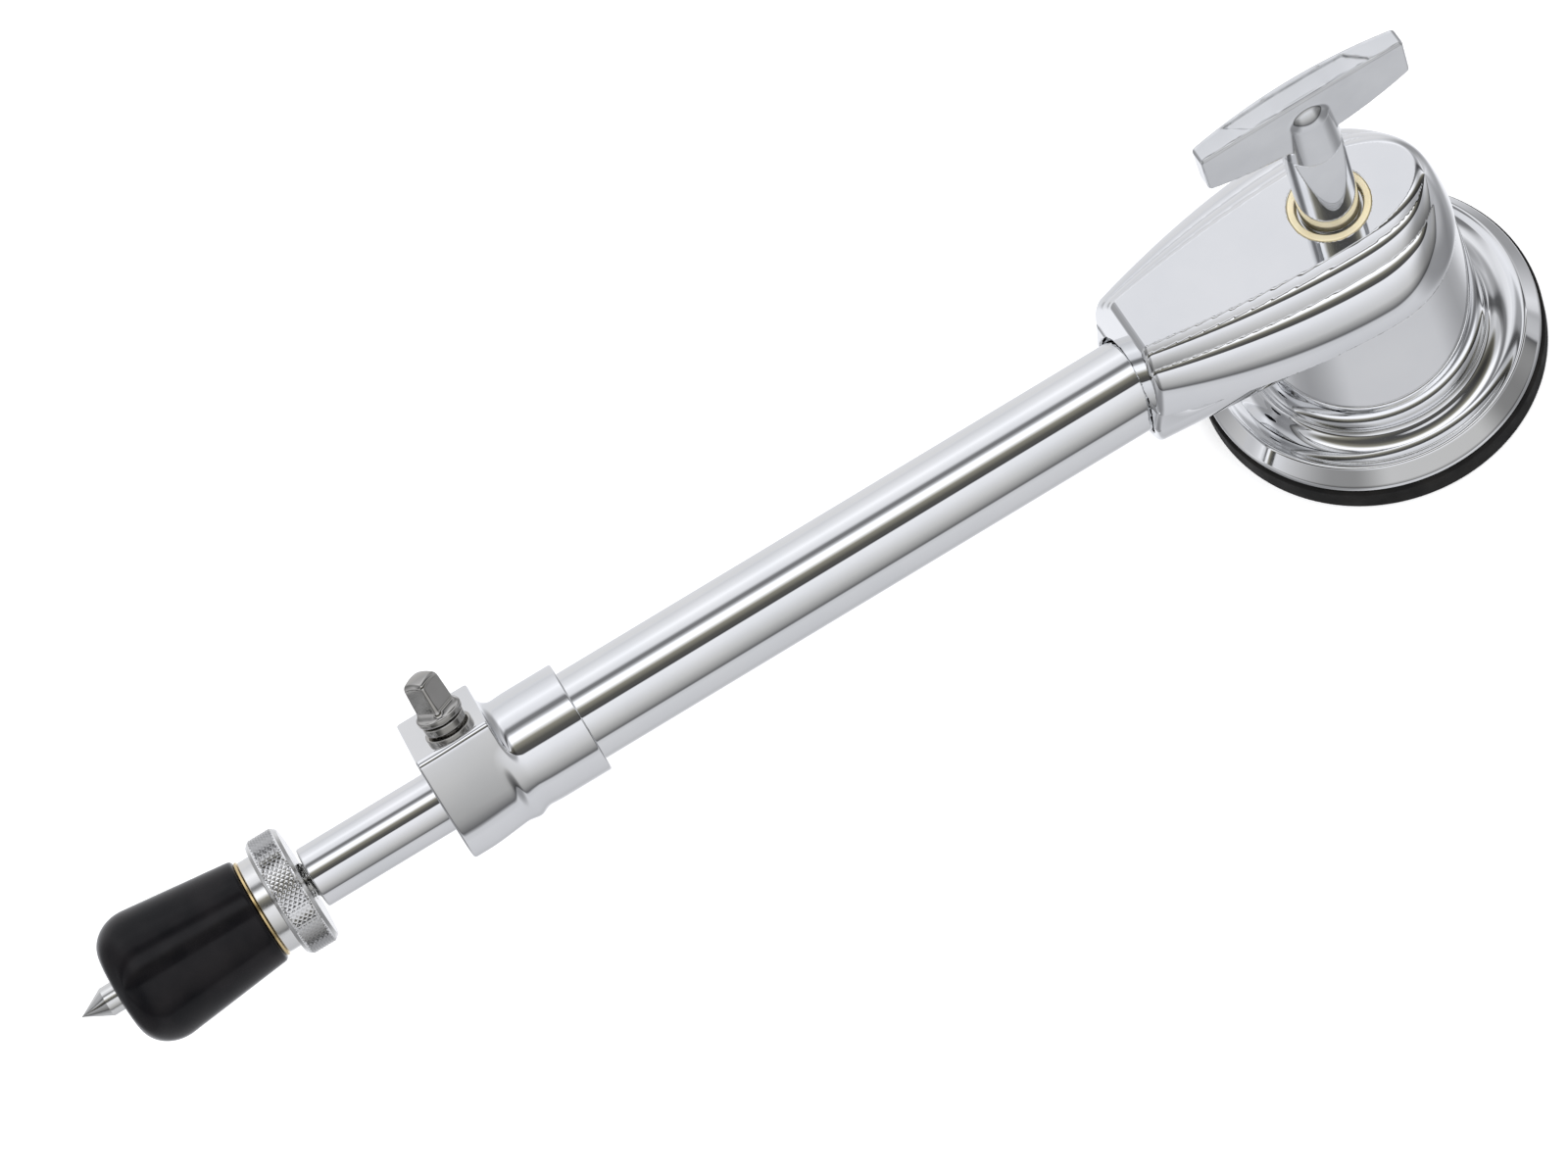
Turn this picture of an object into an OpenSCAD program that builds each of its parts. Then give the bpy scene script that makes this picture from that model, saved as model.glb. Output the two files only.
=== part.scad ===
// Folding telescopic drum spur: a shell bracket with a swivelling arm that a T-bolt clamps,
// a tube leg with a sliding inner rod, a key-bolt clamp, and a screwed rubber foot over a spike.
// Millimetres. The origin is the middle of the gasket's shell face, +Z points out of the shell
// along the T-bolt, and the leg runs along -X.

/* [Bracket] */
// Radius of the round base flange
base_r = 34.6; // [34:0.1:36]
// Radius of the boss where it meets the arm
boss_r = 22.3; // [22:0.1:22.6]
// Thickness of the rubber gasket under the base
gasket_t = 5.5; // [3:0.5:8]
// Height of the boss above the gasket
boss_h = 39; // [38:0.5:41]
// Pitch circle diameter of the shell screws
shell_pcd = 30; // [28:1:31]

/* [Arm] */
// Height of the leg axis above the gasket
leg_h = 33; // [32.5:0.1:33.5]
// Height of the arm's flat top above the gasket
arm_h = 53.5; // [53:0.1:54]
// Distance from the T-bolt axis to the arm's mouth
mouth_x = 49.6; // [48:0.2:52]
// Outside radius of the arm's sleeve at the mouth
sleeve_r = 12.4; // [12:0.1:13]

/* [T-bolt] */
// Length of the T-handle's bar
bar_len = 44; // [40:1:50]
// Height of the handle's top above the gasket
handle_h = 96; // [94:1:98]
// Radius of the handle's stem
stem_r = 6.05; // [5.9:0.05:6.2]
// Radius of the T-bolt's thread
stud_r = 4; // [3.9:0.05:4]

/* [Leg] */
// Outside radius of the outer tube
tube_r = 9.525; // [9.4:0.025:9.6]
// Wall of the outer tube
tube_wall = 1.6; // [1.5:0.05:1.7]
// Outside radius of the inner rod
rod_r = 6.35; // [6.3:0.01:6.4]
// Distance from the T-bolt axis to the tip of the spike
leg_len = 285.1; // [280:0.1:300]
// Distance from the T-bolt axis to the clamp collar's tube end
collar_x = 173; // [165:1:173]

/* [Clamp] */
// Length of the clamp collar's round sleeve
collar_sleeve = 15.9; // [15:0.1:17]
// Length of the clamp collar's block
collar_block = 15.8; // [15:0.1:17]
// Angle by which the key bolt leans away from straight up
key_lean = 35; // [0:5:45]
// Distance of the key bolt from the leg's middle plane
key_offset = 5; // [4.8:0.1:5.2]

/* [Foot] */
// Largest radius of the rubber foot
foot_r = 13.7; // [13:0.1:14]
// Radius of the rubber foot at its back
foot_back_r = 11; // [10.8:0.1:11.5]
// Length of the rubber foot
foot_len = 31.3; // [30:0.1:32]
// Radius of the knurled lock nut
nut_r = 12.65; // [12:0.05:13]
// Length of the spike that stands out of the foot
spike_out = 8.6; // [7:0.1:9]

/* [Hidden] */
$fn = 64;

run = 0.05;            // radial clearance of a running fit
eps = 0.5;             // overrun of a cut through a face
face_gap = 0.15;       // gap between faces that turn on each other

// Heights above the origin
base_z = gasket_t;
seam_z = gasket_t + boss_h;
arm_z = seam_z + 0.25;
leg_z = gasket_t + leg_h;
arm_top = gasket_t + arm_h;
handle_top = gasket_t + handle_h;

// Boss, spigot and thread insert
spigot_r = 8;
spigot_h = 5.5;
insert_r = 5.5;
insert_len = 24;
shell_hole_r = 2.5;
shell_hole_depth = 12;
shell_screws = 4;
washer_in = 9;
washer_out = 19;
washer_recess = 1;

// Arm
head_clear = 23.2;
head_r = 22.6;
bush_r = 8.2;
bush_in = 6.8;
bush_floor_z = arm_top - 4;
bush_floor = 1.3;
tube_in_x = 27.5;
mouth_recess_r = 10.3;
mouth_recess = 0.8;
screw_x = 38;
screw_r = 2.5;
dog_r = 1.3;

// T-bolt
t_washer_t = 1.2;
stem_z = bush_floor_z + bush_floor + t_washer_t + 3 * face_gap;
stud_end = seam_z - 20;
bar_mid_h = 14.6;
bar_arch = 2;
bar_belly = 2.6;
lobe_r = stem_r - 0.8;
bar_mid_t = 5.9;
bar_end_t = 4;

// Leg, measured outwards from the T-bolt axis
tube_end_x = collar_x + collar_sleeve - 1.4;
collar_end_x = collar_x + collar_sleeve + collar_block;
foot_front_x = leg_len - spike_out;
foot_back_x = foot_front_x - foot_len;
foot_washer_t = 0.5;
hub_x = foot_back_x - foot_washer_t - 2 * face_gap;
hub_len = 2.8;
hub_r = 10;
nut_w = 7;
nut_x = hub_x - hub_len;
rod_end_x = nut_x - nut_w - 1.1;
rod_in_x = 62;
rod_bore_r = 4.75;
rod_chamfer = 0.5;
neck_r = 5.85;
neck_x = 64;
neck_len = 9;
guide_len = 9;
plug_len = 18;
spike_r = 3.05;
cone_len = 5.6;
thread_x = 262;
insert_x = 258;
insert_out = 7;

// Clamp
block_w = 10.4;
block_r = 12.9;
block_top = 14.2;
key_x = collar_end_x - 8.8;
key_r = 2.95;
key_end = 8.1;
shoe_low = 1;
flat_t = 1;
spring_t = 2.4;
flange_w = block_top + flat_t + spring_t + 0.4;
flange_t = 1.3;
flange_r = 4.75;
key_square = 6;
key_turned = 40;
key_head = 8.2;

// Points of an arc in the plane, from angle a0 to a1
function arc(cx, cy, r, a0, a1, n) =
    [for (i = [0:n]) [cx + r * cos(a0 + (a1 - a0) * i / n), cy + r * sin(a0 + (a1 - a0) * i / n)]];

// Half the arm's outline: a half-oval head that runs back to the mouth in a bowed side
function arm_half(a, b, m) = concat(
    [for (i = [0:9]) [a * cos(10 * i), b * sin(10 * i)]],
    [for (i = [0:7]) [-mouth_x * i / 7, m + (b - m) * (1 - pow(i / 7, 1.8))]]);

// The arm's whole outline, with reach a, half width b at the head and m at the mouth
module arm_outline(a, b, m) {
    half = arm_half(a, b, m);
    mirrored = [for (i = [len(half) - 1:-1:1]) [half[i][0], -half[i][1]]];
    polygon(concat(half, mirrored));
}

// A thin slice of the arm at height z above the seam
module arm_slice(z, a, b, m) {
    translate([0, 0, arm_z + z]) linear_extrude(0.01) arm_outline(a, b, m);
}

// A cylinder along the leg axis from x0 to x1, both measured outwards
module leg_rod(x0, x1, r) {
    translate([-x0, 0, leg_z]) rotate([0, -90, 0]) cylinder(h = x1 - x0, r = r);
}

// A solid turned about the leg axis: profile of [distance outwards, radius]
module leg_turn(profile) {
    translate([0, 0, leg_z]) rotate([0, -90, 0])
        rotate_extrude() polygon([for (p = profile) [p[1], p[0]]]);
}

// The clamp's own frame: origin on the leg axis at the key bolt, Z along the bolt
module clamp_frame() {
    translate([-key_x, 0, leg_z]) rotate([-key_lean, 0, 0]) children();
}

// The place of the key bolt in the clamp's frame
module key_place() {
    clamp_frame() translate([0, -key_offset, 0]) children();
}

// A flat ring about the vertical axis
module ring(z0, z1, r_in, r_out) {
    translate([0, 0, z0]) difference() {
        cylinder(h = z1 - z0, r = r_out);
        translate([0, 0, -eps]) cylinder(h = z1 - z0 + 2 * eps, r = r_in);
    }
}

// The shell screws' circle
module shell_pattern() {
    for (i = [0:shell_screws - 1]) rotate([0, 0, 45 + 90 * i]) translate([shell_pcd / 2, 0, 0]) children();
}

module base_bracket() {
    boss_foot_r = boss_r + 1.9;
    outline = concat(
        [[0, 0], [base_r, 0], [base_r, 1.6]],
        arc(base_r - 3.2, 1.6, 3.2, 15, 80, 5),
        [[base_r - 3.6, 4.3], [base_r - 5.2, 3.5], [base_r - 7, 3.3], [base_r - 8.6, 3.7]],
        [[boss_foot_r + 1, 4.3]],
        arc(boss_foot_r + 1.6, 6.2, 1.6, 240, 184, 5),
        [[boss_r, boss_h], [0, boss_h]]);
    color("gainsboro") translate([0, 0, base_z]) difference() {
        union() {
            rotate_extrude() polygon(outline);
            cylinder(h = boss_h + spigot_h, r = spigot_r);
        }
        // Hollow of the casting, round the middle column and the screw posts
        difference() {
            translate([0, 0, -eps]) cylinder(h = boss_h - 5 + eps, r = boss_r - 4.5);
            translate([0, 0, -2 * eps]) cylinder(h = boss_h, r = spigot_r + 1);
            shell_pattern() translate([0, 0, -2 * eps]) cylinder(h = shell_hole_depth + 4, r = 5);
        }
        translate([0, 0, -eps]) cylinder(h = boss_h + spigot_h + 2 * eps, r = insert_r);
        translate([0, 0, boss_h - washer_recess]) difference() {
            cylinder(h = washer_recess + eps, r = washer_out + 0.2);
            translate([0, 0, -eps]) cylinder(h = washer_recess + 3 * eps, r = spigot_r);
        }
        shell_pattern() translate([0, 0, -eps]) cylinder(h = shell_hole_depth + eps, r = shell_hole_r);
    }
}

module gasket() {
    color("dimgray") difference() {
        cylinder(h = gasket_t, r = base_r + 0.6);
        shell_pattern() translate([0, 0, -eps]) cylinder(h = gasket_t + 2 * eps, r = shell_hole_r + 0.4);
    }
}

module boss_insert() {
    top = seam_z + spigot_h - 0.5;
    color("goldenrod") ring(top - insert_len, top, stud_r + run, insert_r);
}

module friction_washer() {
    z0 = seam_z - washer_recess;
    color("ivory") ring(z0, z0 + washer_recess + 0.1, washer_in, washer_out);
}

module swivel_arm() {
    color("gainsboro") difference() {
        union() {
            // Head, from the seam up through the stepped shoulder to the flat top
            translate([0, 0, arm_z]) linear_extrude(4) arm_outline(head_r, head_r, sleeve_r);
            hull() {
                arm_slice(3.9, head_r - 0.3, head_r - 0.8, sleeve_r - 0.3);
                arm_slice(8.5, head_r - 0.9, 18.2, 9.6);
            }
            hull() {
                arm_slice(8.3, head_r - 1.2, 17.6, 9.2);
                arm_slice(arm_top - arm_z - 1.2, head_r - 2.6, 12.4, 6.6);
            }
            hull() {
                arm_slice(arm_top - arm_z - 1.3, head_r - 2.8, 12.2, 6.4);
                arm_slice(arm_top - arm_z - 0.01, head_r - 4.4, 10.4, 5.2);
            }
            // Sleeve round the tube, thicker towards the boss
            hull() {
                leg_rod(mouth_x - 0.01, mouth_x, sleeve_r);
                leg_rod(15.99, 16, 15);
                translate([0, 0, arm_z]) linear_extrude(1) intersection() {
                    arm_outline(head_r, head_r, sleeve_r);
                    translate([-mouth_x, -head_r]) square([mouth_x - 12, 2 * head_r]);
                }
            }
        }
        // Room for the boss to turn in
        translate([0, 0, base_z]) cylinder(h = boss_h + 0.25, r1 = head_clear + 2, r2 = head_clear - 0.1, $fn = 96);
        leg_rod(tube_in_x - 0.5, mouth_x + eps, tube_r);
        leg_rod(mouth_x - mouth_recess, mouth_x + eps, mouth_recess_r);
        translate([0, 0, arm_z - eps]) cylinder(h = spigot_h + eps + 0.2, r = spigot_r + run);
        translate([0, 0, arm_z]) cylinder(h = arm_top, r = stud_r + 0.4);
        translate([0, 0, bush_floor_z]) cylinder(h = 5, r = bush_r);
        translate([-screw_x, 0, leg_z - 20]) cylinder(h = 12, r = screw_r);
    }
}

module arm_bush() {
    color("wheat") {
        ring(bush_floor_z, bush_floor_z + bush_floor, stud_r + 0.4, bush_r);
        ring(bush_floor_z + bush_floor, arm_top + 0.1, bush_in, bush_r);
    }
}

module t_washer() {
    z0 = bush_floor_z + bush_floor + face_gap;
    color("silver") ring(z0, z0 + t_washer_t, stud_r + run, bush_in - 0.4);
}

module t_handle() {
    half = bar_len / 2;
    steps = 12;
    xs = [for (i = [0:steps]) -half + bar_len * i / steps];
    top = [for (x = xs) [x, handle_top - bar_arch * pow(x / half, 2)]];
    belly = [for (i = [steps:-1:0]) [xs[i], handle_top - bar_mid_h + bar_belly * pow(xs[i] / half, 2)]];
    edge = [for (x = xs) [x, bar_end_t / 2 + (bar_mid_t - bar_end_t) / 2 * (1 - pow(x / half, 2))]];
    back = [for (i = [steps:-1:0]) [xs[i], -edge[i][1]]];
    lobe_z = handle_top - 7.2;
    cone_z = handle_top - 18;
    color("gainsboro") difference() {
        union() {
            intersection() {
                translate([0, 10, 0]) rotate([90, 0, 0]) linear_extrude(20) polygon(concat(top, belly));
                translate([0, 0, handle_top - 30]) linear_extrude(40) polygon(concat(edge, back));
            }
            translate([0, 0, stem_z + 0.8]) cylinder(h = cone_z - stem_z - 0.8, r = stem_r);
            translate([0, 0, stem_z]) cylinder(h = 0.8, r1 = stem_r - 0.8, r2 = stem_r);
            translate([0, 0, cone_z]) cylinder(h = lobe_z - cone_z, r1 = stem_r, r2 = lobe_r);
            translate([0, 0, lobe_z]) sphere(r = lobe_r);
        }
        // Plain sunk panel along the top
        translate([-13, -1.7, handle_top - 0.5]) cube([26, 3.4, 3]);
        translate([0, 0, stem_z - eps]) cylinder(h = 14 + eps, r = stud_r);
    }
}

module t_stud() {
    color("silver") translate([0, 0, stud_end]) cylinder(h = stem_z + 14 - stud_end, r = stud_r);
}

module outer_tube() {
    color("gainsboro") difference() {
        leg_rod(tube_in_x, tube_end_x, tube_r);
        leg_rod(tube_in_x - eps, tube_end_x + eps, tube_r - tube_wall);
        translate([-screw_x, 0, leg_z - 12]) cylinder(h = 8, r = dog_r);
    }
}

module tube_screw() {
    tip_z = leg_z - tube_r + tube_wall + 0.2;
    head_z = leg_z - sleeve_r + 0.8;
    shank_z = leg_z - tube_r - 0.35;
    color("dimgray") translate([-screw_x, 0, 0]) difference() {
        union() {
            translate([0, 0, head_z]) cylinder(h = shank_z - head_z, r = screw_r);
            translate([0, 0, shank_z - 0.1]) cylinder(h = tip_z - shank_z - 0.3, r = dog_r);
        }
        translate([0, 0, head_z - eps]) cylinder(h = 1.4 + eps, r = 1.3, $fn = 6);
    }
}

module clamp_collar() {
    sleeve_out = 11.65;
    color("gainsboro") difference() {
        union() {
            leg_turn([[collar_x, 0], [collar_x, sleeve_out - 0.4], [collar_x + 0.4, sleeve_out],
                      [collar_x + 8, sleeve_out + 0.15], [collar_x + 12, sleeve_out + 0.5],
                      [collar_x + 14.5, sleeve_out + 0.9], [collar_end_x - 9, block_r - 0.1],
                      [collar_end_x - 9, 0]]);
            clamp_frame() translate([-(collar_end_x - key_x), 0, 0]) rotate([90, 0, 90])
                linear_extrude(collar_block) union() {
                    intersection() {
                        circle(r = block_r);
                        square(2 * [block_w, block_r + 1], center = true);
                    }
                    translate([-block_w, 0]) square([2 * block_w, block_top]);
                }
        }
        leg_rod(collar_x - eps, tube_end_x, tube_r);
        leg_rod(tube_end_x - eps, collar_end_x + eps, rod_r + run);
        leg_rod(collar_end_x - 1, collar_end_x + eps, rod_r + 1.2);
        key_place() translate([0, 0, shoe_low]) cylinder(h = 20, r = key_r + run);
    }
}

module guide_bush() {
    color("ivory") difference() {
        leg_rod(tube_end_x - 12, tube_end_x - 0.1, tube_r - tube_wall);
        leg_rod(tube_end_x - 13, tube_end_x + eps, rod_r + run);
    }
}

module clamp_shoe() {
    color("goldenrod") difference() {
        key_place() translate([0, 0, shoe_low + 0.1]) cylinder(h = key_end - shoe_low - 0.3, r = key_r);
        leg_rod(key_x - 10, key_x + 10, rod_r + run);
    }
}

module flat_washer() {
    color("silver") key_place() ring(block_top, block_top + flat_t, key_r + 0.15, 4.9);
}

module spring_washer() {
    z0 = block_top + flat_t + face_gap;
    color("darkgray") key_place() difference() {
        ring(z0, z0 + spring_t, key_r + 0.15, 4.4);
        translate([3.6, 0, z0 + spring_t / 2]) rotate([25, 0, 0]) cube([2.4, 0.6, 6], center = true);
    }
}

module key_bolt() {
    head_z = flange_w + flange_t;
    color("darkgray") key_place() union() {
        translate([0, 0, key_end]) cylinder(h = flange_w - key_end + 0.1, r = key_r);
        translate([0, 0, flange_w]) cylinder(h = flange_t, r = flange_r);
        translate([0, 0, head_z]) cylinder(h = 2.2, r1 = flange_r - 0.5, r2 = 3.1);
        intersection() {
            translate([0, 0, head_z]) rotate([0, 0, key_turned])
                linear_extrude(key_head) square(key_square, center = true);
            translate([0, 0, head_z + key_head - 8]) sphere(r = 8);
            translate([0, 0, head_z]) cylinder(h = key_head, r = 3.9);
        }
    }
}

module inner_rod() {
    color("gainsboro") difference() {
        union() {
            leg_rod(rod_in_x, neck_x, rod_r);
            leg_rod(neck_x - 0.1, neck_x + neck_len + 0.1, neck_r);
            leg_rod(neck_x + neck_len, rod_end_x - rod_chamfer, rod_r);
            leg_turn([[rod_end_x - rod_chamfer, 0], [rod_end_x - rod_chamfer, rod_r],
                      [rod_end_x, rod_r - rod_chamfer], [rod_end_x, 0]]);
        }
        leg_rod(rod_in_x - eps, rod_end_x + eps, rod_bore_r);
    }
}

module rod_guide() {
    color("ivory") difference() {
        leg_rod(neck_x + face_gap, neck_x + guide_len - face_gap, tube_r - tube_wall - run);
        leg_rod(neck_x - eps, neck_x + guide_len + eps, neck_r + run);
    }
}

module rod_tip_plug() {
    color("silver") difference() {
        leg_rod(rod_end_x - plug_len, rod_end_x - 0.2, rod_bore_r);
        leg_rod(rod_end_x - plug_len - eps, rod_end_x + eps, stud_r);
    }
}

module spike_stud() {
    color("silver") leg_turn([[rod_end_x - plug_len, 0], [rod_end_x - plug_len, stud_r], [thread_x, stud_r],
                              [thread_x + 1, spike_r], [leg_len - cone_len, spike_r],
                              [leg_len - 0.1, 0.15], [leg_len, 0]]);
}

module knurled_nut() {
    bevel = 1;
    color("silver") difference() {
        union() {
            leg_turn([[nut_x - nut_w, 0], [nut_x - nut_w, nut_r - bevel], [nut_x - nut_w + bevel, nut_r],
                      [nut_x - bevel, nut_r], [nut_x, nut_r - bevel], [nut_x, 0]]);
            leg_rod(nut_x - 0.1, hub_x, hub_r);
        }
        leg_rod(nut_x - nut_w - eps, hub_x + eps, stud_r + run);
    }
}

module foot_washer() {
    x0 = hub_x + face_gap;
    color("goldenrod") difference() {
        leg_rod(x0, x0 + foot_washer_t, hub_r + 0.3);
        leg_rod(x0 - eps, x0 + foot_washer_t + eps, stud_r + run);
    }
}

module foot_insert() {
    color("goldenrod") difference() {
        union() {
            leg_rod(foot_back_x, foot_back_x + 1.5, hub_r - 1);
            leg_rod(foot_back_x + 1.4, insert_x, insert_out);
        }
        leg_rod(foot_back_x - eps, insert_x + eps, stud_r + run);
    }
}

module rubber_foot() {
    nose_r = 6.2;
    slope = atan2(foot_r - foot_back_r, foot_len - 8);
    outline = concat(
        [[foot_back_x, 0], [foot_back_x, foot_back_r - 1.2], [foot_back_x + 0.4, foot_back_r - 0.35],
         [foot_back_x + 1.3, foot_back_r]],
        [for (p = arc(0, 0, 1, 90 + slope, 0, 9))
            [foot_front_x - nose_r * 1.2 + nose_r * 1.2 * p[0], foot_r - nose_r + nose_r * p[1]]],
        [[foot_front_x, 0]]);
    color("dimgray") difference() {
        leg_turn(outline);
        leg_rod(foot_back_x - eps, foot_back_x + 1.5, hub_r - 1);
        leg_rod(foot_back_x + 1, insert_x, insert_out);
        leg_rod(insert_x - eps, insert_x + 8, stud_r + 0.4);
        leg_rod(insert_x, foot_front_x + eps, spike_r + 0.25);
    }
}

base_bracket();
gasket();
boss_insert();
friction_washer();
swivel_arm();
arm_bush();
t_washer();
t_handle();
t_stud();
outer_tube();
tube_screw();
clamp_collar();
guide_bush();
clamp_shoe();
flat_washer();
spring_washer();
key_bolt();
inner_rod();
rod_guide();
rod_tip_plug();
spike_stud();
knurled_nut();
foot_washer();
foot_insert();
rubber_foot();
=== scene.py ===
"""Looks of the folding bass drum spur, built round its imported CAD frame.

Lengths are in millimetres in the row frame until a mesh is made, and in metres from there on.
Along the leg, x is counted outwards from the T-bolt axis, so it is minus the frame's X.
"""

import math

import bmesh
import bpy
import numpy as np
from mathutils import Matrix, Vector


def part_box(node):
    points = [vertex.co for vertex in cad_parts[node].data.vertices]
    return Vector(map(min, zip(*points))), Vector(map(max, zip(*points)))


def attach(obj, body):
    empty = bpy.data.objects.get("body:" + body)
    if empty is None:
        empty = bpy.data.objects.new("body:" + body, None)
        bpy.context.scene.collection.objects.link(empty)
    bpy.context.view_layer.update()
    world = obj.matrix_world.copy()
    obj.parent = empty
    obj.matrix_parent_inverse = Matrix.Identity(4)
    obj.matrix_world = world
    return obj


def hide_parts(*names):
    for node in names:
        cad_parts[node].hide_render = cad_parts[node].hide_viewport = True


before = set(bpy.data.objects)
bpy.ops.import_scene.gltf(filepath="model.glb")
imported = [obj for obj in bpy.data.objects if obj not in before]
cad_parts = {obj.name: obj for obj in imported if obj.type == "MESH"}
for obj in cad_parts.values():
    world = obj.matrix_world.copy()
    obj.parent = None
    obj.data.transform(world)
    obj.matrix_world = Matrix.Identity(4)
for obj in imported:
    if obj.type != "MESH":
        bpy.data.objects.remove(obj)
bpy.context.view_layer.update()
MM = 0.001
CREASE_DEG = 32


# ---------------------------------------------------------------- places, read from the frame


def reach(node):
    """Inner and outer end of a leg node, outwards from the T-bolt axis."""
    low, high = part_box(node)
    return -high.x / MM, -low.x / MM


def rise(node):
    """Lowest and highest Z of a node."""
    low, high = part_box(node)
    return low.z / MM, high.z / MM


def radius(node):
    """Largest radius of a round node."""
    low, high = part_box(node)
    return (high.y - low.y) / 2 / MM


LEG_Z = sum(rise("outer_tube")) / 2
TUBE_R = radius("outer_tube")
TUBE_WALL = 1.6
ROD_R = radius("inner_rod")
STUD_R = radius("t_stud")
STUD_PITCH = 1.25
BASE_Z = rise("gasket")[1]
BASE_R = radius("base_bracket")
SPIGOT_R = 8.0
SPIGOT_H = 5.5
SEAM_Z = rise("base_bracket")[1] - SPIGOT_H
BOSS_R = 22.3
SCREW_CIRCLE_R = 15.0
ARM_Z = SEAM_Z + 0.25
ARM_TOP = rise("swivel_arm")[1]
HEAD_R = radius("swivel_arm")
MOUTH_X = reach("swivel_arm")[1]
BUSH_R = radius("arm_bush")
BUSH_FLOOR_Z = rise("arm_bush")[0]
STEM_Z = rise("t_handle")[0]
HANDLE_TOP = rise("t_handle")[1]
STEM_R = radius("t_handle")
COLLAR_X, COLLAR_END = reach("clamp_collar")
KEY_LEAN = math.radians(35)
KEY_OFFSET = 5.0
KEY_TURNED = math.radians(40)
KEY_X = COLLAR_END - 8.8
BLOCK_TOP = 14.2
NUT_X, HUB_X = reach("knurled_nut")
NUT_R = radius("knurled_nut")
FOOT_BACK, FOOT_FRONT = reach("rubber_foot")
FOOT_R = radius("rubber_foot")
TIP_X = reach("spike_stud")[1]

LEG_PLACE = Matrix(((-1, 0, 0, 0), (0, 1, 0, 0), (0, 0, -1, LEG_Z), (0, 0, 0, 1)))
UP_PLACE = Matrix.Identity(4)
CLAMP_PLACE = Matrix.Translation((-KEY_X, 0, LEG_Z)) @ Matrix.Rotation(-KEY_LEAN, 4, "X")
KEY_PLACE = CLAMP_PLACE @ Matrix.Translation((0, -KEY_OFFSET, 0))


# ---------------------------------------------------------------- meshes


def add_piece(name, mesh, body, material, replaces):
    """Puts a mesh in the scene as a visible piece that stands for CAD nodes."""
    piece = bpy.data.objects.new(name, mesh)
    bpy.context.scene.collection.objects.link(piece)
    mesh.materials.append(material)
    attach(piece, body)
    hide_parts(*replaces)
    return piece


def new_mesh(name, points, faces, place, crease_deg=CREASE_DEG):
    """A mesh in metres from points in millimetres, smooth except at creases."""
    mesh = bpy.data.meshes.new(name)
    moved = np.asarray(points) @ np.array(place)[:3, :3].T + np.array(place)[:3, 3]
    mesh.from_pydata((moved * MM).tolist(), [], [list(map(int, f)) for f in faces])
    tidy_mesh(mesh)
    mesh.shade_smooth()
    mesh.set_sharp_from_angle(angle=math.radians(crease_deg))
    return mesh


def tidy_mesh(mesh):
    """Merges doubled points and turns the faces outwards."""
    work = bmesh.new()
    work.from_mesh(mesh)
    bmesh.ops.remove_doubles(work, verts=work.verts, dist=1e-7)
    bmesh.ops.dissolve_degenerate(work, edges=work.edges, dist=1e-8)
    bmesh.ops.recalc_face_normals(work, faces=work.faces)
    work.to_mesh(mesh)
    work.free()


def soften(corners, steps=5, guard=0.06):
    """A profile whose corners (along, radius, fillet) are rounded, with guard points by each fillet."""
    count = len(corners)
    profile = []
    for i, corner in enumerate(corners):
        here = np.array(corner[:2], float)
        fillet = corner[2] if len(corner) > 2 else 0
        if not fillet:
            profile.append(here)
            continue
        before = np.array(corners[i - 1][:2], float) - here
        after = np.array(corners[(i + 1) % count][:2], float) - here
        start = before / np.linalg.norm(before)
        end = after / np.linalg.norm(after)
        profile.append(here + start * (fillet + guard))
        for t in np.linspace(0, 1, steps):
            profile.append(here + start * fillet * (1 - t) ** 2 + end * fillet * t**2)
        profile.append(here + end * (fillet + guard))
    return np.array(profile)


def lathe(profile, segments=128):
    """Points and faces of a closed profile of (along, radius), turned about local X."""
    turn = np.linspace(0, 2 * math.pi, segments, endpoint=False)
    along, r = profile[:, 0], profile[:, 1]
    rings = np.stack(
        [
            np.repeat(along[:, None], segments, 1),
            r[:, None] * np.cos(turn),
            r[:, None] * np.sin(turn),
        ],
        -1,
    )
    rows = len(profile)
    i, j = np.meshgrid(np.arange(rows), np.arange(segments), indexing="ij")
    up, side = (i + 1) % rows, (j + 1) % segments
    here, after = i * segments, up * segments
    faces = np.stack([here + j, after + j, after + side, here + side], -1)
    return rings.reshape(-1, 3), faces.reshape(-1, 4)


TURN_UP = Matrix(((0, 1, 0, 0), (0, 0, 1, 0), (1, 0, 0, 0), (0, 0, 0, 1)))


def turned(name, corners, place, segments=128):
    """A mesh turned from a closed profile: along the leg, or upwards with place @ TURN_UP."""
    points, faces = lathe(soften(corners), segments)
    return new_mesh(name, points, faces, place)


def sheet_faces(rows, columns):
    """Quads of a grid that closes on itself along its columns."""
    i, j = np.meshgrid(np.arange(rows - 1), np.arange(columns), indexing="ij")
    side = (j + 1) % columns
    here, below = i * columns, (i + 1) * columns
    quads = np.stack([here + j, below + j, below + side, here + side], -1)
    return quads.reshape(-1, 4).tolist()


def cut(mesh, tools):
    """Cuts tool meshes out of a mesh with an exact Boolean."""
    body = bpy.data.objects.new("cut_body", mesh)
    bpy.context.scene.collection.objects.link(body)
    made = [bpy.data.objects.new("cut_tool", tool) for tool in tools]
    for tool in made:
        bpy.context.scene.collection.objects.link(tool)
        step = body.modifiers.new("cut", "BOOLEAN")
        step.object = tool
        step.solver = "EXACT"
    graph = bpy.context.evaluated_depsgraph_get()
    result = bpy.data.meshes.new_from_object(body.evaluated_get(graph))
    for used in (body, *made):
        bpy.data.objects.remove(used)
    result.shade_smooth()
    result.set_sharp_from_angle(angle=math.radians(CREASE_DEG))
    return result


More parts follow.
